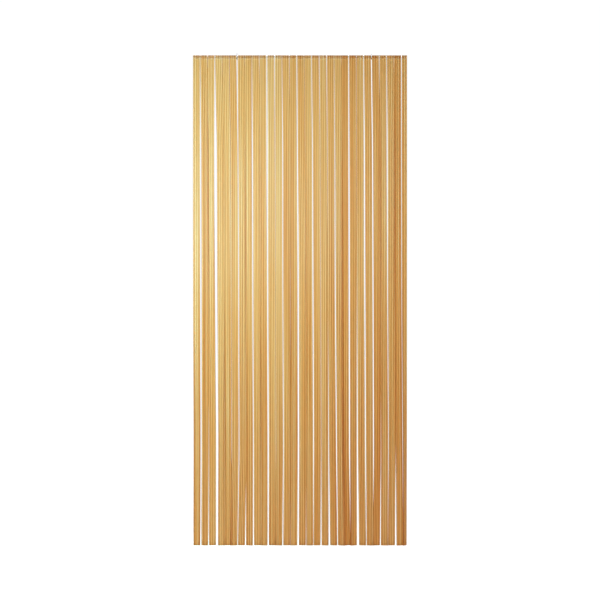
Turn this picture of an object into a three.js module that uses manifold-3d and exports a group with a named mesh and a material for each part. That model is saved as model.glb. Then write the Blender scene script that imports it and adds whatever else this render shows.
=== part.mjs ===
// PVC strip door curtain: ribbed ribbon strips folded over a thin steel rod, which rests on two wall hooks.
// Millimetres, +Z up, front towards -Y. The wall is the plane Y = 0 and the rod's axis is at Z = 0.
import * as THREE from "three";
import { mergeVertices } from "three/addons/utils/BufferGeometryUtils.js";
import Module from "manifold-3d";

const wasm = await Module();
wasm.setup();

// Curtain
const WIDTH = 1000;
const DROP = 2290;
const STRIP_COUNT = 29;
const PITCH = 34.7;

// Ribbon: flat on the back, with rounded ribs along the front
const RIB_PITCH = 8.25;
const RIBS = 4;
const RIBS_OF_LAST = 3;
const GROOVE_THICKNESS = 1.0;
const CREST_THICKNESS = 1.4;

// Rod
const ROD_RADIUS = 2.25;
const ROD_LENGTH = 994;
const ROD_CHAMFER = 0.4;
const ROD_SIDES = 12;
const ROD_TO_WALL = 25;

// Fold over the rod, welded to the ribbon's own back under it
const FOLD_RADIUS = 2.75;
const FOLD_ANGLE = 225;
const FOLD_STEPS = 6;
const LAP_TOP = -7.6;
const LAP_END = -12;
const LAP_GAP = 0.3;
const WELD_HEIGHT = 3;
const WELD_BITE = 0.5;
const WELD_INSET = 0.4;

// Wall hooks of round wire on a plain round plate
const WIRE_RADIUS = 1.5;
const WIRE_SIDES = 10;
const SEAT_GAP = 0.3;
const BEND_RADIUS = 3;
const BEND_STEPS = 4;
const TIP_ROUNDING = 0.6;
const PLATE_RADIUS = 8;
const PLATE_THICKNESS = 1.6;
const PLATE_SIDES = 24;

// Each hook stands in the gap to the right of the strip numbered here, and its tip rises above the strips.
const HOOKS = [
  { name: "hook_left", afterStrip: 6, rise: 9 },
  { name: "hook_right", afterStrip: 24, rise: 6 },
];

// Heights at which the strips' places are given, as shares of the drop below the rod.
const HEIGHTS = { rod: 0, high: 0.2, mid: 0.46, low: 0.8, foot: 1 };

// How each strip hangs, from left to right. rod to foot: how far its middle lies to the right
// of its even place at those heights. turn: degrees that its cut end is turned, right edge to the back.
// layer: how far it hangs behind the middle plane of the row, so that neighbours that cross stay apart.
const HANG = table(
  ["rod", "high", "mid", "low", "foot", "turn", "layer"],
  [
    [0, 0, 0.5, 3, 2, -5, 0.6],
    [-0.9, 4.5, 5.8, 6.5, 4.3, -6, -1.8],
    [-1.8, -3.5, 0, 5.5, 5.3, 4, 1.8],
    [-1.4, 7.8, 9.8, 14.5, 13, 4, -1.9],
    [-2.5, 3.4, 5.8, 8, 9.3, 1, 1.8],
    [-3.3, 2.3, 4.9, 7.4, 1.5, 9, -1.8],
    [0, 3.8, 6.9, 8.6, 1.7, 6, 1.8],
    [-1.2, -0.8, 1.4, 4.8, 4.7, -7, -1.8],
    [-2.2, 2.7, 4.2, 6.5, 7.4, 4, 1.8],
    [-2.3, -2.1, 0.8, 3.2, 3.5, -4, -1.8],
    [-0.7, 2.4, 4.5, 7.7, 7.2, 2, 1.8],
    [0.2, 2.5, 3.4, 6.6, 3.1, -5, -1.8],
    [-0.3, 4.7, 5, 7.8, 5.1, 5, 1],
    [-0.5, 1.4, 3.9, 5.5, 3.6, 8, -1.3],
    [0.6, 4.5, 9, 10.6, 8.8, -5, 1.8],
    [-0.6, 3, 4.4, 7.8, 8.5, 3, -1.8],
    [-0.2, 4.9, 7.6, 10.2, 7.9, 3, 0.6],
    [0.4, 3.9, 6.9, 9.6, 10.9, -7, -1],
    [1.2, 3.6, 4.9, 11, 16.5, -4, 0.9],
    [0.1, 4.5, 7.3, 13, 17.3, -18, -2],
    [-1, -1.2, -0.1, 2.8, 10, 20, 1.9],
    [0.3, 2.5, 4.3, 4.3, 5.1, 20, -1.7],
    [-0.4, 1.5, 3.2, 7.4, 12.6, -6, 0.5],
    [0, 5.1, 7.2, 10, 12.9, -8, -1.8],
    [2.8, 8.6, 10.7, 12.5, 7.8, 11, 1.8],
    [3.1, 4, 6.7, 11.3, 9.8, -5, -1.8],
    [3.2, 7.7, 8.8, 11.9, 8.5, 4, 1.8],
    [2.1, 2.4, 3.9, 9.4, 13, 14, -1.8],
    [-0.5, -0.5, -0.4, 1.5, 1.4, 45, 0.5],
  ],
);

// Where the rings of a hanging ribbon lie, as shares of the drop below the rod.
const STATIONS = [1, 0.9, 0.8, 0.64, 0.46, 0.2, 0.08, 0.03];
const LAYER_REACHED = 0.03;
const TURN_START = 0.2;

const STRIP_WIDTH = RIBS * RIB_PITCH;
const ROD_Y = -ROD_TO_WALL;
const FOLD_TOP = FOLD_RADIUS + CREST_THICKNESS;
const FOOT_Z = FOLD_TOP - DROP;
const LEAF_Y = ROD_Y - FOLD_RADIUS;

const pvc = new THREE.MeshStandardMaterial({ color: 0xd8a868, roughness: 0.35, metalness: 0 });
const steel = new THREE.MeshStandardMaterial({ color: 0xa9acb0, roughness: 0.35, metalness: 1 });

/** Rows of numbers as objects with the given column names. */
function table(columns, rows) {
  return rows.map((row) => Object.fromEntries(columns.map((column, i) => [column, row[i]])));
}

/** A ribbon's section from its back left corner round the ribbed front to its back right corner. */
function ribbonSection(ribs) {
  const half = (ribs * RIB_PITCH) / 2;
  const points = [[-half, 0], [-half, GROOVE_THICKNESS]];
  for (let rib = 0; rib < ribs; rib++) {
    const left = -half + rib * RIB_PITCH;
    points.push([left + RIB_PITCH / 2, CREST_THICKNESS]);
    points.push([left + RIB_PITCH, GROOVE_THICKNESS]);
  }
  points.push([half, 0]);
  return points;
}

/** A round section that runs the same way round as a ribbon's. */
function roundSection(radius, sides) {
  return Array.from({ length: sides }, (_, i) => {
    const angle = (-2 * Math.PI * i) / sides;
    return [radius * Math.cos(angle), radius * Math.sin(angle)];
  });
}

/** The section set at a point, with its first number along across and its second along outward. */
function ring(section, centre, across, outward) {
  return section.map(([a, b]) => centre.clone().addScaledVector(across, a).addScaledVector(outward, b));
}

/** A closed geometry through rings of equal length, with flat ends cut into triangles. */
function loft(section, rings) {
  const count = section.length;
  const index = [];
  for (let r = 0; r + 1 < rings.length; r++) {
    for (let i = 0; i < count; i++) {
      const a = r * count + i;
      const b = r * count + ((i + 1) % count);
      index.push(a, b, b + count, a, b + count, a + count);
    }
  }
  const contour = section.map(([a, b]) => new THREE.Vector2(a, b));
  const last = (rings.length - 1) * count;
  for (const [a, b, c] of THREE.ShapeUtils.triangulateShape(contour, [])) {
    index.push(a, b, c);
    index.push(last + c, last + b, last + a);
  }
  const positions = rings.flat().flatMap((point) => point.toArray());
  const geometry = new THREE.BufferGeometry();
  geometry.setAttribute("position", new THREE.Float32BufferAttribute(positions, 3));
  geometry.setIndex(index);
  return geometry;
}

/** A closed geometry as a manifold solid. */
function solid(geometry) {
  const bare = geometry.clone();
  bare.deleteAttribute("normal");
  bare.deleteAttribute("uv");
  const merged = mergeVertices(bare);
  const vertProperties = new Float32Array(merged.attributes.position.array);
  const triVerts = new Uint32Array(merged.index.array);
  return new wasm.Manifold(new wasm.Mesh({ numProp: 3, vertProperties, triVerts }));
}

/** A manifold solid as a geometry. */
function geometryOf(manifold) {
  const mesh = manifold.getMesh();
  const geometry = new THREE.BufferGeometry();
  geometry.setAttribute("position", new THREE.BufferAttribute(mesh.vertProperties, 3));
  geometry.setIndex(new THREE.BufferAttribute(mesh.triVerts, 1));
  geometry.computeVertexNormals();
  return geometry;
}

/** How far a strip's middle lies from its even place, at a share of the drop, in straight runs. */
function driftAt(hang, share) {
  const names = Object.keys(HEIGHTS);
  const next = Math.max(1, names.findIndex((name) => HEIGHTS[name] >= share));
  const [above, below] = [names[next - 1], names[next]];
  const part = (share - HEIGHTS[above]) / (HEIGHTS[below] - HEIGHTS[above]);
  return THREE.MathUtils.lerp(hang[above], hang[below], part);
}

/** X of a strip's middle when the strips are evenly spaced. */
function evenX(number) {
  return -WIDTH / 2 + STRIP_WIDTH / 2 + (number - 1) * PITCH;
}

/** The ring of a hanging ribbon at a share of the drop: it drifts, turns and leaves the row's plane. */
function leafRing(section, number, hang, share) {
  const turn = THREE.MathUtils.degToRad(hang.turn) * THREE.MathUtils.smoothstep(share, TURN_START, 1);
  const layer = hang.layer * THREE.MathUtils.smoothstep(share, 0, LAYER_REACHED);
  const across = new THREE.Vector3(Math.cos(turn), Math.sin(turn), 0);
  const outward = new THREE.Vector3(Math.sin(turn), -Math.cos(turn), 0);
  const centre = new THREE.Vector3(evenX(number) + driftAt(hang, share), LEAF_Y + layer, FOOT_Z * share);
  return ring(section, centre, across, outward);
}

/** The ring of a folded ribbon at an angle round the rod, from 0 at its front over its top. */
function foldRing(section, x, degrees) {
  const angle = THREE.MathUtils.degToRad(degrees);
  const outward = new THREE.Vector3(0, -Math.cos(angle), Math.sin(angle));
  const centre = new THREE.Vector3(x, ROD_Y, 0).addScaledVector(outward, FOLD_RADIUS);
  return ring(section, centre, new THREE.Vector3(1, 0, 0), outward);
}

/** The ring of the ribbon's end where it lies along its own back. */
function lapRing(section, x, z) {
  const centre = new THREE.Vector3(x, LEAF_Y + LAP_GAP, z);
  return ring(section, centre, new THREE.Vector3(1, 0, 0), new THREE.Vector3(0, 1, 0));
}

/** One strip: the hanging ribbon, its fold over the rod, and the weld that closes the fold. */
function strip(number) {
  const hang = HANG[number - 1];
  const ribs = number === STRIP_COUNT ? RIBS_OF_LAST : RIBS;
  const section = ribbonSection(ribs);
  const x = evenX(number) + hang.rod;
  const rings = STATIONS.map((share) => leafRing(section, number, hang, share));
  for (let step = 0; step <= FOLD_STEPS; step++) {
    rings.push(foldRing(section, x, (FOLD_ANGLE * step) / FOLD_STEPS));
  }
  rings.push(lapRing(section, x, LAP_TOP));
  rings.push(lapRing(section, x, LAP_END));

  const weldDepth = LAP_GAP + 2 * WELD_BITE;
  const weldWidth = ribs * RIB_PITCH - 2 * WELD_INSET;
  const weld = new THREE.BoxGeometry(weldWidth, weldDepth, WELD_HEIGHT);
  weld.translate(x, LEAF_Y + LAP_GAP / 2, LAP_END + WELD_BITE + WELD_HEIGHT / 2);
  return geometryOf(solid(loft(section, rings)).add(solid(weld)));
}

/** The rod, along X, with a small chamfer at each end. */
function rod() {
  const half = ROD_LENGTH / 2;
  const profile = [
    [0, -half],
    [ROD_RADIUS - ROD_CHAMFER, -half],
    [ROD_RADIUS, -half + ROD_CHAMFER],
    [ROD_RADIUS, half - ROD_CHAMFER],
    [ROD_RADIUS - ROD_CHAMFER, half],
    [0, half],
  ];
  const geometry = new THREE.LatheGeometry(profile.map(([r, h]) => new THREE.Vector2(r, h)), ROD_SIDES);
  geometry.rotateZ(-Math.PI / 2);
  geometry.translate(0, ROD_Y, 0);
  return geometryOf(solid(geometry));
}

/** One hook: out from its plate under the rod, then up in front of it. */
function hook(x, rise) {
  const section = roundSection(WIRE_RADIUS, WIRE_SIDES);
  const across = new THREE.Vector3(1, 0, 0);
  const reach = ROD_RADIUS + SEAT_GAP + WIRE_RADIUS;
  const bendY = ROD_Y - reach + BEND_RADIUS;
  const tipZ = FOLD_TOP + rise;
  const rings = [];
  const addRing = (y, z, degrees, scale) => {
    const angle = THREE.MathUtils.degToRad(degrees);
    const outward = new THREE.Vector3(0, -Math.sin(angle), -Math.cos(angle));
    const scaled = section.map(([a, b]) => [a * scale, b * scale]);
    rings.push(ring(scaled, new THREE.Vector3(x, y, z), across, outward));
  };
  addRing(-PLATE_THICKNESS / 2, -reach, 0, 1);
  for (let step = 0; step <= BEND_STEPS; step++) {
    const degrees = (90 * step) / BEND_STEPS;
    const angle = THREE.MathUtils.degToRad(degrees);
    const y = bendY - BEND_RADIUS * Math.sin(angle);
    const z = -reach + BEND_RADIUS * (1 - Math.cos(angle));
    addRing(y, z, degrees, 1);
  }
  addRing(ROD_Y - reach, tipZ - TIP_ROUNDING, 90, 1);
  addRing(ROD_Y - reach, tipZ, 90, (WIRE_RADIUS - TIP_ROUNDING) / WIRE_RADIUS);

  const plate = new THREE.CylinderGeometry(PLATE_RADIUS, PLATE_RADIUS, PLATE_THICKNESS, PLATE_SIDES);
  plate.translate(x, -PLATE_THICKNESS / 2, -reach);
  return geometryOf(solid(loft(section, rings)).add(solid(plate)));
}

/** X of the middle of the gap between a strip and the next, at the rod. */
function gapX(number) {
  const rightEdge = evenX(number) + HANG[number - 1].rod + STRIP_WIDTH / 2;
  const leftEdge = evenX(number + 1) + HANG[number].rod - STRIP_WIDTH / 2;
  return (rightEdge + leftEdge) / 2;
}

function named(name, geometry, material) {
  const mesh = new THREE.Mesh(geometry, material);
  mesh.name = name;
  return mesh;
}

const curtain = new THREE.Group();
curtain.add(named("rod", rod(), steel));
for (const { name, afterStrip, rise } of HOOKS) {
  curtain.add(named(name, hook(gapX(afterStrip), rise), steel));
}
for (let number = 1; number <= STRIP_COUNT; number++) {
  curtain.add(named(`strip_${String(number).padStart(2, "0")}`, strip(number), pvc));
}

export default curtain;
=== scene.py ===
# %% [markdown]
# # PVC strip door curtain
# The real curtain is a row of 29 ribbons of translucent, honey-coloured PVC. Each ribbon is folded over
# a thin steel rod and welded to its own back, and the rod rests on two wire hooks on the wall. The packed
# frame already holds every piece at its true place and size. This lesson dresses that frame: it makes a
# finer ribbon for each strip, a smooth rod and smooth hooks, then the plastic, the steel and the light.

# %% Load the frame
import math

import bmesh
import bpy
import numpy as np
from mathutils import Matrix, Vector


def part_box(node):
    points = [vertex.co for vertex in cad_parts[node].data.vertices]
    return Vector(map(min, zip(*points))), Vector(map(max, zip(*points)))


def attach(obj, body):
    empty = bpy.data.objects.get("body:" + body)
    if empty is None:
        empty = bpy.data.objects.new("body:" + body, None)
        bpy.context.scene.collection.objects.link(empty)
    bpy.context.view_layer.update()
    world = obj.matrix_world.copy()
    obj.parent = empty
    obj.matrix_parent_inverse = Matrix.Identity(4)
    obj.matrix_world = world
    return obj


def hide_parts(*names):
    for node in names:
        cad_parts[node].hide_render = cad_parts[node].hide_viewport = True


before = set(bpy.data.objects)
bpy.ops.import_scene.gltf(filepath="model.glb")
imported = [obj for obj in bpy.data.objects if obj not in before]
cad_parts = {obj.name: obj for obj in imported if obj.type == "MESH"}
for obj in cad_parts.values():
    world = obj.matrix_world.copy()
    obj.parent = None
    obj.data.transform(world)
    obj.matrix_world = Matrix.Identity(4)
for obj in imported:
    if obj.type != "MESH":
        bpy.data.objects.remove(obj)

scene = bpy.context.scene
MM = 0.001
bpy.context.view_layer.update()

# %% [markdown]
# ## The camera
# The photograph looks straight at the curtain, so the camera looks along +Y at the height of the
# curtain's middle. A long lens from far off keeps the strips parallel. The distance follows from the
# width of the picture at the strips: distance = width of the picture times lens over sensor.

# %% Place the camera
LENS = 85
SENSOR = 36
PICTURE_WIDTH = 2802 * MM
PICTURE_MIDDLE_Z = -1139.5 * MM
STRIP_FRONT_Y = -29 * MM
ALONG_Y = (math.radians(90), 0, 0)

camera_data = bpy.data.cameras.new("camera")
camera_data.lens = LENS
camera_data.sensor_width = SENSOR
camera = bpy.data.objects.new("camera", camera_data)
camera_distance = PICTURE_WIDTH * LENS / SENSOR
camera.location = (0, STRIP_FRONT_Y - camera_distance, PICTURE_MIDDLE_Z)
camera.rotation_euler = ALONG_Y
scene.collection.objects.link(camera)
scene.camera = camera
print("camera stands", round(camera_distance, 3), "m in front of the strips")

# %% [markdown]
# ## A section carried along a path
# Every piece here is long and thin: a ribbon, a rod, a bent wire. Each could be drawn as a curve object
# with a bevel, but a mesh worked out with numpy gives full control of the section, and of the coordinates
# that the material reads. So one function serves them all. It takes a grid of points, with a row for each
# ring along the path and a column for each point round the section. A piece is closed at an end by one
# more ring that is drawn together to a line or a point, and the doubled points are then merged.

# %% A closed mesh from a grid of points
SHARP_ANGLE = math.radians(38)
MERGE_DISTANCE = 0.001 * MM


def tube_piece(name, grid, places=None):
    """Mesh object through grid[ring, point], closed round each ring: face (r, p) joins (r, p), (r, p+1),
    (r+1, p+1) and (r+1, p), with p+1 taken round. Its UV map is (p / points, r / (rings - 1)). Places
    maps the name of an attribute to an array with a number, or a row of three, for each point."""
    rings, points = grid.shape[:2]
    r, p = np.meshgrid(np.arange(rings - 1), np.arange(points), indexing="ij")
    next_p = (p + 1) % points
    here = r * points
    there = here + points
    faces = np.stack([here + p, here + next_p, there + next_p, there + p], axis=-1)
    around = np.stack([p, p + 1, p + 1, p], axis=-1) / points
    along = np.stack([r, r, r + 1, r + 1], axis=-1) / (rings - 1)

    mesh = bpy.data.meshes.new(name)
    mesh.from_pydata(grid.reshape(-1, 3), [], faces.reshape(-1, 4).tolist())
    uv_map = mesh.uv_layers.new(name="UVMap")
    uv_map.data.foreach_set("uv", np.stack([around, along], axis=-1).ravel().astype(np.float32))
    for key, values in (places or {}).items():
        kind, field = ("FLOAT_VECTOR", "vector") if values.ndim == 3 else ("FLOAT", "value")
        attribute = mesh.attributes.new(key, kind, "POINT")
        attribute.data.foreach_set(field, values.ravel().astype(np.float32))
    return finished(name, mesh)


def finished(name, mesh):
    """Object of the mesh with doubled points merged, faces outward, and edges sharp past SHARP_ANGLE."""
    work = bmesh.new()
    work.from_mesh(mesh)
    bmesh.ops.remove_doubles(work, verts=work.verts, dist=MERGE_DISTANCE)
    bmesh.ops.recalc_face_normals(work, faces=work.faces)
    work.to_mesh(mesh)
    work.free()
    mesh.polygons.foreach_set("use_smooth", np.ones(len(mesh.polygons), bool))
    mesh.set_sharp_from_angle(angle=SHARP_ANGLE)
    piece = bpy.data.objects.new(name, mesh)
    scene.collection.objects.link(piece)
    return piece


# %% [markdown]
# ## The ribbon's section
# The ribbon is extruded, so its section is the same from end to end: flat on the back, with four rounded
# ribs along the front that part in fine grooves, and edges rounded by the die. It is a function of one
# number, the place across the ribbon. The front is a row of low arches, and both faces run
# together in a half circle at each edge. The front's and the back's points lie at the same places across,
# so that a cut end can be closed straight through the thickness.

# %% Points across the section
RIBS = 4
RIB_PITCH = 8.25 * MM
GROOVE_THICKNESS = 1.0 * MM
CREST_THICKNESS = 1.4 * MM
EDGE_ROUNDING = 0.45 * MM
CLEAR_OF_EDGE = 1.2 * EDGE_ROUNDING
FACETS_PER_RIB = 6
FACETS_PER_EDGE = 3


def places_across(ribs):
    """Places across the front, from -half to half of the width: close together in the grooves, where
    x = pitch * (1 - cos t) / 2 within a rib, and round the edges, where x = rounding * (1 - cos t)."""
    half = ribs * RIB_PITCH / 2
    t = np.arange(FACETS_PER_RIB) * math.pi / FACETS_PER_RIB
    within = RIB_PITCH * (1 - np.cos(t)) / 2
    on_ribs = (-half + np.arange(ribs)[:, None] * RIB_PITCH + within).ravel()[1:]
    inner = on_ribs[np.abs(on_ribs) < half - CLEAR_OF_EDGE]
    t = np.arange(FACETS_PER_EDGE + 1) * math.pi / 2 / FACETS_PER_EDGE
    edge = EDGE_ROUNDING * (1 - np.cos(t))
    return np.concatenate([-half + edge, inner, half - edge[::-1]])


def ribbon_section(ribs):
    """Closed section (across, outward): front from left to right, then back from right to left. Outward is
    groove + (crest - groove) * (1 - (2f - 1)^2) on the front, with f the share of a rib, and 0 on the back.
    Both draw together at the edges by sqrt(1 - s^2), with s the share of the rounding that is passed."""
    half = ribs * RIB_PITCH / 2
    x = places_across(ribs)
    share = ((x + half) / RIB_PITCH) % 1
    front = GROOVE_THICKNESS + (CREST_THICKNESS - GROOVE_THICKNESS) * (1 - (2 * share - 1) ** 2)
    middle = GROOVE_THICKNESS / 2
    passed = np.clip((np.abs(x) - half + EDGE_ROUNDING) / EDGE_ROUNDING, 0, 1)
    fullness = np.sqrt(1 - passed ** 2)
    front = middle + (front - middle) * fullness
    back = middle - middle * fullness
    return np.stack([np.concatenate([x, x[-2:0:-1]]), np.concatenate([front, back[-2:0:-1]])], axis=-1)


section = ribbon_section(RIBS)
print("section of", len(section), "points,", round(np.ptp(section[:, 0]) / MM, 2), "mm wide")

# %% [markdown]
# ## How each strip hangs
# The strips don't hang like a comb: each one wanders a little to the side, turns on its own axis, and
# lies a touch in front of or behind its neighbours, so that some overlap and others stand apart. All of
# that is in the frame's solids, as a few rings at set heights. A cloth simulation could hang the strips
# too, but they would end up somewhere else. Reading the rings keeps each fine ribbon exactly where its
# solid is. A ring gives three numbers: where its middle is, sideways and in depth, and how far it is turned.

# %% Read the rings of a strip's solid
LEAF_TOP = -12.5 * MM
LEVEL_TOLERANCE = 0.3 * MM
BACK_TOLERANCE = 0.3 * MM


def solid_points(node):
    """A node's vertices as an array of distinct points, told apart to a micrometre."""
    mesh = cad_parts[node].data
    points = np.zeros(len(mesh.vertices) * 3, np.float32)
    mesh.vertices.foreach_get("co", points)
    return np.unique(points.reshape(-1, 3).astype(float).round(6), axis=0)


def ring_of(points):
    """(x, y, turn) of a level ring: the middle of its back face, and the angle of its width from +X. The
    width lies along the axis in which the points spread most, and the back corners lie furthest inward."""
    flat = points[:, :2] - points[:, :2].mean(axis=0)
    axis = np.linalg.eigh(flat.T @ flat)[1][:, -1]
    axis = axis * np.sign(axis[0])
    outward = flat @ np.array([axis[1], -axis[0]])
    back = points[outward < outward.min() + BACK_TOLERANCE, :2]
    order = back @ axis
    left, right = back[order.argmin()], back[order.argmax()]
    middle = (left + right) / 2
    return middle[0], middle[1], math.atan2(right[1] - left[1], right[0] - left[0])


def read_strip(node):
    """Levels of a strip's rings under its lap, from the top down and to a tenth of a millimetre, (x, y,
    turn) at each of them, and the middle and width of its fold."""
    points = solid_points(node)
    leaf = points[points[:, 2] < LEAF_TOP]
    levels = np.unique(leaf[:, 2].round(4))[::-1]
    rings = [ring_of(leaf[np.abs(leaf[:, 2] - level) < LEVEL_TOLERANCE]) for level in levels]
    fold = points[points[:, 2] > 0]
    width = np.ptp(fold[:, 0])
    return levels, np.array(rings), fold[:, 0].min() + width / 2, width


levels, rings, fold_x, width = read_strip("strip_01")
print("strip_01:", len(levels), "rings, foot at", levels[-1], "m, width", round(width / MM, 2), "mm")

# %% [markdown]
# ## A smooth line through the rings
# Between two rings the solid runs straight, but a ribbon that hangs bends softly. A cubic through the
# rings does that. The slope at each ring is the harmonic mean of the slopes beside it, and zero where they
# differ in sign, so the curve never swings past a ring and two strips that pass closely don't touch.

# %% Interpolate the rings
def smooth_between(at, known, values):
    """Cubic Hermite curve through values at known, which rises, worked out for every number in at. With
    s the share of the way between two knots a, b at distance h, and their slopes m, n, it is
    a (1+2s)(1-s)^2 + h m s (1-s)^2 + b s^2 (3-2s) + h n s^2 (s-1)."""
    step = np.diff(known)[:, None]
    slope = np.diff(values, axis=0) / step
    product = slope[:-1] * slope[1:]
    total = slope[:-1] + slope[1:]
    inner = np.where(product > 0, 2 * product / np.where(product > 0, total, 1), 0)
    tangent = np.concatenate([np.zeros_like(slope[:1]), inner, slope[-1:]])
    i = np.clip(np.searchsorted(known, at, side="right") - 1, 0, len(known) - 2)
    s = ((at - known[i]) / step[i, 0])[:, None]
    h = step[i]
    start = values[i] * (1 + 2 * s) * (1 - s) ** 2 + h * tangent[i] * s * (1 - s) ** 2
    end = values[i + 1] * s ** 2 * (3 - 2 * s) + h * tangent[i + 1] * s ** 2 * (s - 1)
    return start + end


half_way = smooth_between(-levels[-1:] / 2, -levels, rings)[0]
print("strip_01 half way down: x", round(half_way[0], 4), "m, turn", round(half_way[2], 3), "radians")

# %% [markdown]
# ## The leaf, the fold and the lap
# A ribbon's path runs from its cut foot up the leaf, over the rod and down behind it, where its end lies
# along its own back and is welded to it. The leaf has level rings that follow the interpolated line. The
# rest lies in one plane, so there the path is a list of points (y, z): an arc round the rod, a soft curve
# back to the leaf, and a straight end. The section stands square to it.

# %% Places along the fold
ROD_Y = -25 * MM
FOLD_RADIUS = 2.75 * MM
FOLD_ANGLE = math.radians(225)
LEAF_Y = ROD_Y - FOLD_RADIUS
LAP_GAP = 0.3 * MM
LAP_TOP = -7.6 * MM
LAP_END = -12 * MM
FOLD_RINGS = 20
RETURN_RINGS = 8
LAP_RINGS = 13
HANDLE = 2.2 * MM


def fold_path():
    """(y, z) from the front of the rod over its top to the end of the lap. The arc is the rod's axis plus
    radius * (-cos a, sin a). The return is the cubic with end points a, d and handles b, c,
    a (1-t)^3 + 3 b t (1-t)^2 + 3 c t^2 (1-t) + d t^3. The lap is straight down."""
    a = np.linspace(0, FOLD_ANGLE, FOLD_RINGS)
    arc = np.stack([ROD_Y - FOLD_RADIUS * np.cos(a), FOLD_RADIUS * np.sin(a)], axis=-1)
    start = arc[-1]
    end = np.array([LEAF_Y + LAP_GAP, LAP_TOP])
    heading = np.array([math.sin(FOLD_ANGLE), math.cos(FOLD_ANGLE)])
    after_start = start + HANDLE * heading
    before_end = end + np.array([0, HANDLE])
    t = np.linspace(0, 1, RETURN_RINGS + 1)[1:, None]
    u = 1 - t
    back = start * u ** 3 + 3 * after_start * t * u ** 2 + 3 * before_end * t ** 2 * u + end * t ** 3
    z = np.linspace(LAP_TOP, LAP_END, LAP_RINGS + 1)[1:]
    lap = np.stack([np.full_like(z, LEAF_Y + LAP_GAP), z], axis=-1)
    return np.concatenate([arc, back, lap])


fold = fold_path()
fold_length = np.linalg.norm(np.diff(fold, axis=0), axis=1).sum()
print("fold and lap:", round(fold_length / MM, 1), "mm along the ribbon's inner face")

# %% [markdown]
# ## The weld
# The lap is welded to the leaf by a hot bar that presses a band about 3 mm high. The plastic there is
# thinner, and the gap is gone. So over the height of the bar the lap's inner face moves up to the leaf,
# and its outer face sinks.

# %% Press the weld into the lap
WELD_TOP = -8.4 * MM
WELD_FOOT = -11.5 * MM
WELD_SOFTNESS = 0.35 * MM
WELD_CLEARANCE = 0.03 * MM
WELD_THINNING = 0.35


def weld_pressure(z):
    """0 clear of the weld and 1 under the bar, by a smooth step of cubic form at both of its sides."""
    top = np.clip((WELD_TOP - z) / WELD_SOFTNESS, 0, 1)
    foot = np.clip((z - WELD_FOOT) / WELD_SOFTNESS, 0, 1)
    both = top * foot
    return both * both * (3 - 2 * both)


print("rings under the bar:", int((weld_pressure(fold[-LAP_RINGS:, 1]) > 0.5).sum()), "of", LAP_RINGS)

# %% [markdown]
# ## Rings with directions
# The section is carried along the whole path, and for that each ring needs a middle, a direction across
# and a direction outward. On the leaf the rings are level and turned. Over the rod they stand square to
# the fold's path. The leaf could have its rings at even distances, but the ribbon bends most close under
# the rod, where it settles into its place in the row, so they crowd there.

# %% Rings of the leaf and of the fold
LEAF_RINGS = 58
RINGS_CROWD_UP = 1.7


def leaf_rings(levels, rings, fold_x):
    """Middles, across and outward of level rings from the foot up, at depth = foot * share^1.7."""
    known = np.concatenate([[0], -levels])
    values = np.concatenate([[[fold_x, LEAF_Y, 0]], rings])
    depth = known[-1] * np.linspace(1, 0, LEAF_RINGS + 1)[:-1] ** RINGS_CROWD_UP
    x, y, turn = smooth_between(depth, known, values).T
    flat = np.zeros_like(turn)
    middles = np.stack([x, y, -depth], axis=-1)
    across = np.stack([np.cos(turn), np.sin(turn), flat], axis=-1)
    outward = np.stack([np.sin(turn), -np.cos(turn), flat], axis=-1)
    return middles, across, outward


def fold_rings(fold_x):
    """Middles, across and outward of the rings over the rod. Outward is the heading (y, z) turned by a
    right angle, (-z, y)."""
    heading = np.gradient(fold, axis=0)
    heading = heading / np.linalg.norm(heading, axis=1)[:, None]
    flat = np.zeros(len(fold))
    middles = np.stack([flat + fold_x, fold[:, 0], fold[:, 1]], axis=-1)
    across = np.stack([flat + 1, flat, flat], axis=-1)
    outward = np.stack([flat, -heading[:, 1], heading[:, 0]], axis=-1)
    outward[0] = (0, -1, 0)
    return middles, across, outward


print("rings of a ribbon:", LEAF_RINGS, "on the leaf and", len(fold), "from the rod on")

# %% [markdown]
# ## One ribbon
# A point (a, b) of the section lands at middle + a * across + b * outward. Each point keeps the place on the
# flat ribbon that it came from: metres from the left edge, metres from the cut foot, and the number of the
# strip. It also keeps how far it is from the nearest edge or cut end, and how much painted shade its strip
# gets, for strips turned from the light. A pattern could be laid in space, but then it would break at the
# fold. The plastic reads the kept places instead, so its pattern runs along the ribbon, over the rod and
# back.

# %% Carry the section along the path
# painted shade: a deeper colour for strips that are turned from the light
PAINTED_STRIP_SHADE = {21: 1.15, 22: 1.1, 25: 1.06, 28: 1.12}  # strips that show browner than the rest, which have 1


def closing_line(section):
    """Heights that draw front and back to one line half way through the section, to close a cut end."""
    points = len(section)
    partner = (points - np.arange(points)) % points
    return (section[:, 1] + section[partner, 1]) / 2


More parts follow.
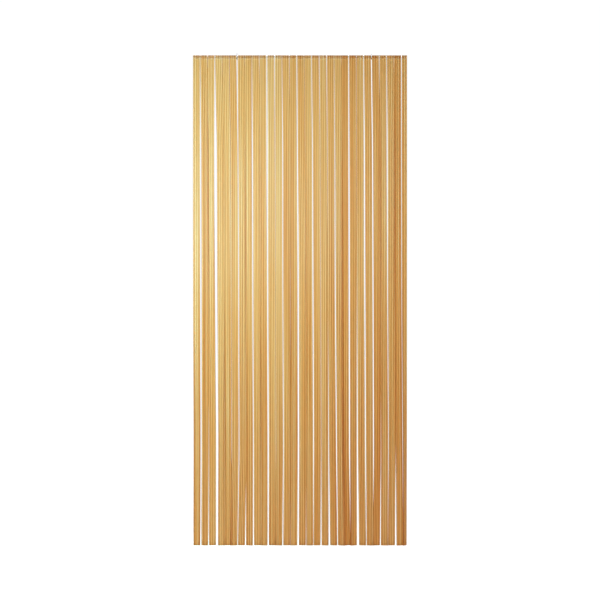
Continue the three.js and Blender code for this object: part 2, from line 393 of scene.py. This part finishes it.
def ribbon_piece(name, number):
    """A strip as one closed mesh, with its place attributes, and the length and width of ribbon in it."""
    levels, rings, fold_x, width = read_strip(name)
    section = ribbon_section(round(width / RIB_PITCH))
    parts = [leaf_rings(levels, rings, fold_x), fold_rings(fold_x)]
    middles, across, outward = [np.concatenate(pair) for pair in zip(*parts)]
    behind_rod = np.arange(len(middles)) > LEAF_RINGS + FOLD_RINGS
    pressure = np.where(behind_rod, weld_pressure(middles[:, 2]), 0)
    middles[:, 1] -= pressure * (LAP_GAP - WELD_CLEARANCE)
    thickness = 1 - WELD_THINNING * pressure

    neutral = middles + outward * GROOVE_THICKNESS / 2
    along = np.concatenate([[0], np.cumsum(np.linalg.norm(np.diff(neutral, axis=0), axis=1))])
    a, b = section[:, 0], section[:, 1]
    lift = b[:, None] * outward[:, None] * thickness[:, None, None]
    grid = middles[:, None] + a[:, None] * across[:, None] + lift
    line = closing_line(section)
    foot, end = [middles[i] + a[:, None] * across[i] + line[:, None] * outward[i] for i in (0, -1)]
    grid = np.concatenate([foot[None], grid, end[None]])

    along = np.concatenate([along[:1], along, along[-1:]])
    from_left, from_foot = np.broadcast_arrays(a[None, :] + width / 2, along[:, None])
    to_edge = np.minimum(from_left, width - from_left)
    to_cut_end = np.minimum(from_foot, along[-1] - from_foot)
    places = {
        "ribbon": np.stack([from_left, from_foot, np.full_like(from_left, number)], axis=-1),
        "rim": np.minimum(to_edge, to_cut_end),
        "strip_painted_shade": np.full_like(to_edge, PAINTED_STRIP_SHADE.get(number, 1)),
    }
    return tube_piece(f"ribbon_{number:02d}", grid, places), along[-1], width


# %% [markdown]
# ## The 29 strips
# Each ribbon stands for its own solid in the frame, with the width and length that the solid has, hides it,
# and rides on the one body that the curtain has.

# %% Make the strips
STRIP_COUNT = 29
ribbons = []
for number in range(1, STRIP_COUNT + 1):
    node = f"strip_{number:02d}"
    piece, length, width = ribbon_piece(node, number)
    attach(piece, "root")
    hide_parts(node)
    ribbons.append(piece)
print(len(ribbons), "ribbons with", sum(len(piece.data.polygons) for piece in ribbons), "faces")
print("the last one:", round(length, 4), "m long,", round(width, 4), "m wide")

# %% [markdown]
# ## Round pieces
# Rod and hooks are drawn steel wire. Both are a circle carried along a path, with a radius that changes on
# the way: zero at each end, which closes the piece, and wide where a plate is.

# %% A round section along a path
WIRE_POINTS = 32


def round_piece(name, middles, heading, side, radii):
    """Closed mesh of circles: middle + radius * (cos t * side + sin t * (heading x side)). Side is the one
    direction that all the circles share."""
    side = np.broadcast_to(np.array(side, float), heading.shape)
    other = np.cross(heading, side)
    t = np.arange(WIRE_POINTS) * 2 * math.pi / WIRE_POINTS
    circle = np.cos(t)[None, :, None] * side[:, None] + np.sin(t)[None, :, None] * other[:, None]
    piece = tube_piece(name, middles[:, None] + radii[:, None, None] * circle)
    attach(piece, "root")
    return piece


# %% [markdown]
# ## The rod
# The rod is a straight wire 4.5 mm thick, cut square, with its edges broken. A cylinder from the Add menu
# would do, but its ends would be sharp. A line of circles gives the small chamfer at each end.

# %% Make the rod
ROD_RADIUS = 2.25 * MM
ROD_CHAMFER = 0.4 * MM

rod_low, rod_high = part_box("rod")
rod_stations = [
    (rod_low.x, 0),
    (rod_low.x, ROD_RADIUS - ROD_CHAMFER),
    (rod_low.x + ROD_CHAMFER, ROD_RADIUS),
    (rod_high.x - ROD_CHAMFER, ROD_RADIUS),
    (rod_high.x, ROD_RADIUS - ROD_CHAMFER),
    (rod_high.x, 0),
]
rod_x, rod_radii = np.array(rod_stations).T
rod_middles = np.stack([rod_x, np.full_like(rod_x, ROD_Y), np.zeros_like(rod_x)], axis=-1)
rod_heading = np.broadcast_to(np.array([1.0, 0, 0]), rod_middles.shape)
rod = round_piece("round_rod", rod_middles, rod_heading, (0, 0, 1), rod_radii)
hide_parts("rod")
print("rod", round(rod_high.x - rod_low.x, 3), "m long")

# %% [markdown]
# ## The hooks
# A hook is wire too, 3 mm thick. Only the tips of the two hooks show in the photograph, above the strips,
# so the rest is the plainest hook that holds a rod: it leaves a round plate on the wall, runs out under
# the rod and turns up in front of it. The wire could be a bevelled curve joined to a cylinder. Here plate,
# fillet, wire and tip are one chain of circles, so plate and wire are one skin with no seam.

# %% Make the hooks
WIRE_RADIUS = 1.5 * MM
SEAT_GAP = 0.3 * MM
BEND_RADIUS = 3 * MM
BEND_RINGS = 12
TIP_ROUNDING = 0.6 * MM
TIP_RINGS = 5
PLATE_RADIUS = 8 * MM
PLATE_THICKNESS = 1.6 * MM
PLATE_ROUNDING = 0.3 * MM
FILLET = 0.6 * MM


def hook_piece(name, node):
    """A hook as rings (y, z, angle, radius), the angle being how far the wire has turned from -Y to +Z:
    plate, fillet in two steps, straight run, bend (y - r sin a, z + r (1 - cos a)) and tip."""
    low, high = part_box(node)
    reach = ROD_RADIUS + SEAT_GAP + WIRE_RADIUS
    rim = PLATE_RADIUS - PLATE_ROUNDING
    rings = [
        (0, -reach, 0, 0),
        (0, -reach, 0, rim),
        (-PLATE_ROUNDING, -reach, 0, PLATE_RADIUS),
        (PLATE_ROUNDING - PLATE_THICKNESS, -reach, 0, PLATE_RADIUS),
        (-PLATE_THICKNESS, -reach, 0, rim),
        (-PLATE_THICKNESS, -reach, 0, WIRE_RADIUS + FILLET),
        (-PLATE_THICKNESS - FILLET / 3, -reach, 0, WIRE_RADIUS + FILLET / 3),
        (-PLATE_THICKNESS - FILLET, -reach, 0, WIRE_RADIUS),
    ]
    bend_y = ROD_Y - reach + BEND_RADIUS
    for angle in np.linspace(0, math.pi / 2, BEND_RINGS):
        y = bend_y - BEND_RADIUS * math.sin(angle)
        z = -reach + BEND_RADIUS * (1 - math.cos(angle))
        rings.append((y, z, angle, WIRE_RADIUS))
    for angle in np.linspace(0, math.pi / 2, TIP_RINGS):
        z = high.z - TIP_ROUNDING * (1 - math.sin(angle))
        radius = WIRE_RADIUS - TIP_ROUNDING * (1 - math.cos(angle))
        rings.append((ROD_Y - reach, z, math.pi / 2, radius))
    rings.append((ROD_Y - reach, high.z, math.pi / 2, 0))
    y, z, angle, radii = np.array(rings).T
    middles = np.stack([np.full_like(y, (low.x + high.x) / 2), y, z], axis=-1)
    heading = np.stack([np.zeros_like(y), -np.cos(angle), np.sin(angle)], axis=-1)
    piece = round_piece(name, middles, heading, (1, 0, 0), radii)
    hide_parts(node)
    return piece


hooks = [hook_piece("wire_hook_left", "hook_left"), hook_piece("wire_hook_right", "hook_right")]

# %% [markdown]
# ## Building a material
# A material is a graph of nodes. Written out in full it is long and hard to read, so one small helper adds
# a node, sets it and links what goes into it. What follows then reads like a list of steps.

# %% Helpers for nodes
WHITE = (1, 1, 1)


def add(tree, kind, inputs=None, **settings):
    """A new node of that kind. Inputs maps a socket's name or number to a value or to another socket."""
    made = tree.nodes.new(kind)
    for key, value in settings.items():
        setattr(made, key, value)
    for key, value in (inputs or {}).items():
        if isinstance(value, bpy.types.NodeSocket):
            tree.links.new(value, made.inputs[key])
        else:
            made.inputs[key].default_value = value
    return made


def new_material(name):
    """An empty node material and its output node."""
    material = bpy.data.materials.new(name)
    material.use_nodes = True
    material.node_tree.nodes.clear()
    return material, add(material.node_tree, "ShaderNodeOutputMaterial")


def remap(tree, value, low, high, to_low=0, to_high=1):
    """The value carried from the range low to high over to another range, and held at that one's ends."""
    inputs = {"Value": value, "From Min": low, "From Max": high, "To Min": to_low, "To Max": to_high}
    return add(tree, "ShaderNodeMapRange", inputs).outputs[0]


def ramp(tree, factor, stops):
    """A colour ramp with stops (place, colour) over factor, and its colour socket."""
    node = add(tree, "ShaderNodeValToRGB", {"Fac": factor})
    elements = node.color_ramp.elements
    for element, (place, colour) in zip(elements, stops, strict=True):
        element.position = place
        element.color = (*colour, 1)
    return node.outputs["Color"]


def multiply(tree, a, b):
    """The product of two colour sockets. A Mix node has its factor at input 0 and its colours at 6 and 7."""
    inputs = {0: 1, 6: a, 7: b}
    return add(tree, "ShaderNodeMix", inputs, data_type="RGBA", blend_type="MULTIPLY").outputs[2]


# %% [markdown]
# ## The plastic
# The ribbon is PVC with a honey-coloured pigment. Light goes through it, and comes out the more orange the
# more pigment it has passed: pale honey where the plastic is thin, brown where two strips overlap. That is
# Beer's law, colour = base ^ depth, with depth 1 for plain ribbon. So one field of depth is enough for all
# that shows on the strips. It is the sum of a few patterns: noise drawn out along the ribbon, as the
# extruder leaves it, the even wave of the ribs, and painted light and shade.

# %% Streaks and ribs
def streaks(tree, ribbon, width, length, seed, detail):
    """Noise drawn out along the ribbon: features about width across and length along, in metres. The
    strip's number times the seed shifts it, so that no two strips are alike."""
    scale = (1 / width, 1 / length, seed)
    placed = add(tree, "ShaderNodeMapping", {"Vector": ribbon, "Scale": scale}).outputs["Vector"]
    noise = add(tree, "ShaderNodeTexNoise", {"Vector": placed, "Scale": 1, "Detail": detail})
    return noise.outputs["Fac"]


def rib_height(tree, from_left):
    """0 in the grooves and 1 on the crests: |sin(pi x / pitch)|, with x counted from the left edge."""
    phase = add(tree, "ShaderNodeMath", {0: from_left, 1: math.pi / RIB_PITCH}, operation="MULTIPLY")
    wave = add(tree, "ShaderNodeMath", {0: phase.outputs[0]}, operation="SINE")
    return add(tree, "ShaderNodeMath", {0: wave.outputs[0]}, operation="ABSOLUTE").outputs[0]


# %% [markdown]
# ## Patterns on the ribbon
# Broad and fine streaks are pigment that isn't quite mixed. Dark lines are a few thin streaks with much of
# it; towards the foot they are made stronger, as painted shade where strips hang close behind one another.
# Two more fields say how near a point is to the rim, and whether it is in the fold, where the rim gets
# painted shade and the fold painted light. Each strip also gets a number by chance, for its own small
# difference.

# %% Lay the patterns
BROAD_STREAKS = {"width": 6 * MM, "length": 1.5, "seed": 7.31, "detail": 1}
FINE_STREAKS = {"width": 2.2 * MM, "length": 1.1, "seed": 3.77, "detail": 3}
LINE_STREAKS = {"width": 2.6 * MM, "length": 2.2, "seed": 12.7, "detail": 1}
LINE_RANGE = (0.6, 0.68)
LINE_FADE_HEIGHT = 1.6
LINE_LEFT_ABOVE = 0.4
RIM_WIDTH = 2.4 * MM
FOLD_FROM_FOOT = (2.268, 2.276)

plastic, output = new_material("honey_pvc")
tree = plastic.node_tree
ribbon = add(tree, "ShaderNodeAttribute", attribute_name="ribbon").outputs["Vector"]
rim = add(tree, "ShaderNodeAttribute", attribute_name="rim").outputs["Fac"]
# painted shade of strips turned from the light, read per point
strip_painted_shade = add(tree, "ShaderNodeAttribute", attribute_name="strip_painted_shade").outputs["Fac"]
from_left, from_foot, strip_number = add(tree, "ShaderNodeSeparateXYZ", {0: ribbon}).outputs

ribs = rib_height(tree, from_left)
broad = streaks(tree, ribbon, **BROAD_STREAKS)
fine = streaks(tree, ribbon, **FINE_STREAKS)
lines = remap(tree, streaks(tree, ribbon, **LINE_STREAKS), *LINE_RANGE)
# painted shade: the dark lines are made stronger towards the foot, where strips hang close behind one
# another
low = remap(tree, from_foot, 0, LINE_FADE_HEIGHT, 1, LINE_LEFT_ABOVE)
dark_lines_and_foot_shade = add(tree, "ShaderNodeMath", {0: lines, 1: low}, operation="MULTIPLY").outputs[0]
rim_share = remap(tree, rim, 0, RIM_WIDTH)
# painted light: the fold is marked to be painted paler, making up for the shade of the rod and the double
# layer
fold_painted_paler = remap(tree, from_foot, *FOLD_FROM_FOOT)
by_chance = add(tree, "ShaderNodeTexWhiteNoise", {"W": strip_number}, noise_dimensions="1D")
print("patterns of the plastic:", len(tree.nodes), "nodes")

# %% [markdown]
# ## From patterns to depth
# Each pattern adds to the depth or takes from it. The crests are thicker than the grooves, but the depth
# paints them paler, as a painted highlight where they catch the light, and the grooves deeper, as painted
# shade. The rim gets painted shade too, as a deeper colour. A painted shade makes the curtain a trace
# browner towards its foot and its right, so that it is palest at its upper left, where the light falls. The
# fold is painted much paler, as painted light that makes up for the shade that the rod and the double layer
# cast there. Four strips are painted browner, as painted shade where they are turned from the light.

# %% Sum up the depth
def depth_from(tree, terms):
    """1 plus the sum of amount * (source - middle) over terms of (source, middle, amount)."""
    total = 1 - sum(middle * amount for _, middle, amount in terms)
    for source, _, amount in terms:
        step = add(tree, "ShaderNodeMath", {0: source, 1: amount, 2: total}, operation="MULTIPLY_ADD")
        total = step.outputs[0]
    return total


depth = depth_from(tree, [
    # painted highlight and shade: crests painted paler, grooves painted deeper in colour
    (ribs, 0.64, -0.6),
    (broad, 0.5, 0.2),
    (fine, 0.5, 1.6),
    (dark_lines_and_foot_shade, 0, 0.7),
    (by_chance.outputs["Value"], 0.5, 0.12),
    # painted shade: the round rim is painted a deeper colour, where light leaves it sideways
    (rim_share, 1, -0.15),
    # painted shade: deeper colour towards the foot and towards the right, so the upper left, where the light
    # falls, is palest
    (from_foot, 1.15, -0.05),
    (strip_number, 15, 0.004),
    # painted light: less depth at the fold, against the shade of the rod and the double layer
    (fold_painted_paler, 0, -0.35),
    # painted shade: deeper colour on the strips that are turned from the light
    (strip_painted_shade, 1, 1),
])

# %% [markdown]
# ## From depth to a skin
# A glass shader would show what is behind a strip too clearly, for this plastic is cloudy. So the skin
# mixes a Principled shader, for the light that comes back and the gloss, with a Translucent one, for the
# light that goes through, each with its own base colour raised to the depth. Both faces of the ribbon wear
# the skin. With r sent back and t let through by a face, a whole ribbon lets through t^2 / (1 - r^2).
# In the grooves, at the round rim and in the dark lines a painted shade that is nearly grey darkens the
# colour further, for the light that is thrown aside and lost there, whatever its colour.

# %% The plastic's skin
THROUGH = (0.965, 0.59, 0.32)
BACK = (0.545, 0.235, 0.037)
THROUGH_SHARE = 0.72
# painted shade: nearly grey colours that darken grooves, rim and dark lines in both colours
GROOVE_SHADE = (0.76, 0.76, 0.76)
RIM_SHADE = (0.88, 0.88, 0.88)
LINE_SHADE = (0.78, 0.72, 0.66)
PLASTIC_ROUGHNESS = (0.28, 0.42)
PLASTIC_IOR = 1.54
GRAIN = {"Strength": 0.25, "Distance": 0.04 * MM}

# painted shade: the grooves are darkened by a nearly grey shade
painted_groove_shade = ramp(tree, ribs, [(0, GROOVE_SHADE), (1, WHITE)])
# painted shade: the rim is darkened by a nearly grey shade
painted_rim_shade = ramp(tree, rim_share, [(0, RIM_SHADE), (1, WHITE)])
# painted shade: the dark lines are darkened further by a nearly grey, warm shade
painted_line_shade = ramp(tree, dark_lines_and_foot_shade, [(0, WHITE), (1, LINE_SHADE)])
painted_shade = multiply(tree, multiply(tree, painted_groove_shade, painted_rim_shade), painted_line_shade)
back_colour = add(tree, "ShaderNodeGamma", {"Color": (*BACK, 1), "Gamma": depth}).outputs[0]
through_colour = add(tree, "ShaderNodeGamma", {"Color": (*THROUGH, 1), "Gamma": depth}).outputs[0]

skin = add(tree, "ShaderNodeBsdfPrincipled", {
    "Base Color": multiply(tree, back_colour, painted_shade),
    "Roughness": remap(tree, fine, 0, 1, *PLASTIC_ROUGHNESS),
    "IOR": PLASTIC_IOR,
    "Normal": add(tree, "ShaderNodeBump", {"Height": fine, **GRAIN}).outputs["Normal"],
})
glow = add(tree, "ShaderNodeBsdfTranslucent", {"Color": multiply(tree, through_colour, painted_shade)})
mixed = add(tree, "ShaderNodeMixShader", {0: THROUGH_SHARE, 1: skin.outputs[0], 2: glow.outputs[0]})
tree.links.new(mixed.outputs[0], output.inputs["Surface"])
for piece in ribbons:
    piece.data.materials.append(plastic)
print("plastic on", len(ribbons), "ribbons,", len(tree.nodes), "nodes")

# %% [markdown]
# ## The steel
# Rod and hooks are zinc-plated wire: pale blue-grey, satin, with faint lines from the drawing die along
# the wire and a slightly cloudy plating. The lines follow the wire, so they read the piece's UV map, where
# the first number runs round the wire.

# %% The steel's material
ZINC = (0.60, 0.61, 0.63)
CLOUD_SCALE = 220
CLOUD_STOPS = {0.3: 0.82, 0.7: 1.08}
DRAWN_SCALE = (60, 1.5, 1)
STEEL_ROUGHNESS = (0.26, 0.42)
SCORING = {"Strength": 0.3, "Distance": 0.02 * MM}

steel, output = new_material("zinc_plated_steel")
tree = steel.node_tree
uv = add(tree, "ShaderNodeUVMap", uv_map="UVMap").outputs["UV"]
place = add(tree, "ShaderNodeTexCoord").outputs["Object"]
drawn = add(tree, "ShaderNodeMapping", {"Vector": uv, "Scale": DRAWN_SCALE}).outputs["Vector"]
die_lines = add(tree, "ShaderNodeTexNoise", {"Vector": drawn, "Scale": 1, "Detail": 2}).outputs["Fac"]
cloud = add(tree, "ShaderNodeTexNoise", {"Vector": place, "Scale": CLOUD_SCALE, "Detail": 3}).outputs["Fac"]
stops = [(at, tuple(share * c for c in ZINC)) for at, share in CLOUD_STOPS.items()]
metal = add(tree, "ShaderNodeBsdfPrincipled", {
    "Base Color": ramp(tree, cloud, stops),
    "Metallic": 1.0,
    "Roughness": remap(tree, die_lines, 0, 1, *STEEL_ROUGHNESS),
    "Normal": add(tree, "ShaderNodeBump", {"Height": die_lines, **SCORING}).outputs["Normal"],
})
tree.links.new(metal.outputs[0], output.inputs["Surface"])
for piece in [rod, *hooks]:
    piece.data.materials.append(steel)
print("steel on", 1 + len(hooks), "pieces")

# %% [markdown]
# ## The floor
# The photograph has nothing but white round the curtain. So the floor is white, matt and wide, and lies
# some 270 mm under the strips. It also lights both faces of the curtain evenly from below.

# %% Lay the floor
FLOOR_Z = -2560 * MM
FLOOR_SIZE = 60
FLOOR_COLOUR = (0.9, 0.9, 0.9)

half = FLOOR_SIZE / 2
corners = [(-half, -half, FLOOR_Z), (half, -half, FLOOR_Z), (half, half, FLOOR_Z), (-half, half, FLOOR_Z)]
floor_mesh = bpy.data.meshes.new("floor")
floor_mesh.from_pydata(corners, [], [(0, 1, 2, 3)])
floor = bpy.data.objects.new("floor", floor_mesh)
scene.collection.objects.link(floor)
paint, output = new_material("floor_paint")
matt = add(paint.node_tree, "ShaderNodeBsdfDiffuse", {"Color": (*FLOOR_COLOUR, 1)})
paint.node_tree.links.new(matt.outputs[0], output.inputs["Surface"])
floor_mesh.materials.append(paint)

# %% [markdown]
# ## The world
# The background is white in the photograph. A world at full strength would show that, but it would light
# the strips from all sides and bleach them. So the world has two strengths: the camera and reflections see
# it white, and it lights everything else at a tenth of that.

# %% Make the world
WORLD_LIGHT = 0.1
WORLD_SHOWN = 1.02

world = bpy.data.worlds.new("white_studio")
scene.world = world
world.use_nodes = True
tree = world.node_tree
tree.nodes.clear()
ray = add(tree, "ShaderNodeLightPath").outputs
seen = add(tree, "ShaderNodeMath", {0: ray["Is Camera Ray"], 1: ray["Is Glossy Ray"]}, operation="MAXIMUM")
lit = add(tree, "ShaderNodeBackground", {"Color": (*WHITE, 1), "Strength": WORLD_LIGHT})
shown = add(tree, "ShaderNodeBackground", {"Color": (*WHITE, 1), "Strength": WORLD_SHOWN})
both = add(tree, "ShaderNodeMixShader", {0: seen.outputs[0], 1: lit.outputs[0], 2: shown.outputs[0]})
add(tree, "ShaderNodeOutputWorld", {"Surface": both.outputs[0]})
print("world shows at", WORLD_SHOWN, "and lights at", WORLD_LIGHT)

# %% [markdown]
# ## The lamps
# A soft sun from straight above makes the floor white. In the photograph the curtain is brightest and
# palest at its upper left. So two soft lamps stand there, one in front and one behind. The pigment takes
# away most of the blue, so lamps with more blue in them make the plastic paler, where stronger ones would
# only make it brighter. The back lamp is left out of reflections, where it would show as a blue patch.

# %% Place the lamps
SUN = {"energy": 3.35, "colour": WHITE, "angle": math.radians(12)}
SUN_PLACE = (0, 0, 3)
SUN_AIM = (0, 0, 0)
SOFT = {"shape": "RECTANGLE", "size": 1.8, "size_y": 0.7}
FRONT_LAMP = {"energy": 38, "colour": (0.65, 0.9, 1.0), **SOFT}
FRONT_PLACE = (-0.75, -1.85, -0.65)
BACK_LAMP = {"energy": 90, "colour": (0.35, 0.92, 1.0), **SOFT}
BACK_PLACE = (-0.75, 1.85, -0.65)
LAMP_AIM = (-1.2, 0, -0.9)


def lamp(name, kind, place, aim, energy, colour, **settings):
    """A light at a place that points at another place."""
    data = bpy.data.lights.new(name, kind)
    data.energy = energy
    data.color = colour
    for key, value in settings.items():
        setattr(data, key, value)
    light = bpy.data.objects.new(name, data)
    light.location = place
    light.rotation_euler = (Vector(aim) - Vector(place)).to_track_quat("-Z", "Y").to_euler()
    light.visible_camera = False
    scene.collection.objects.link(light)
    return light


lamp("top_sun", "SUN", SUN_PLACE, SUN_AIM, **SUN)
lamp("front_lamp", "AREA", FRONT_PLACE, LAMP_AIM, **FRONT_LAMP)
back_lamp = lamp("back_lamp", "AREA", BACK_PLACE, LAMP_AIM, **BACK_LAMP)
back_lamp.visible_glossy = False
print(len(bpy.data.lights), "lights")

# %% [markdown]
# ## Colours as they are
# Blender's usual view transform softens bright colours and turns white into a light grey. The photograph's
# background is plain white, so the picture uses the Standard transform, which leaves colours as they are.

# %% Set the view transform
scene.view_settings.view_transform = "Standard"
scene.view_settings.look = "None"
print("view transform:", scene.view_settings.view_transform)
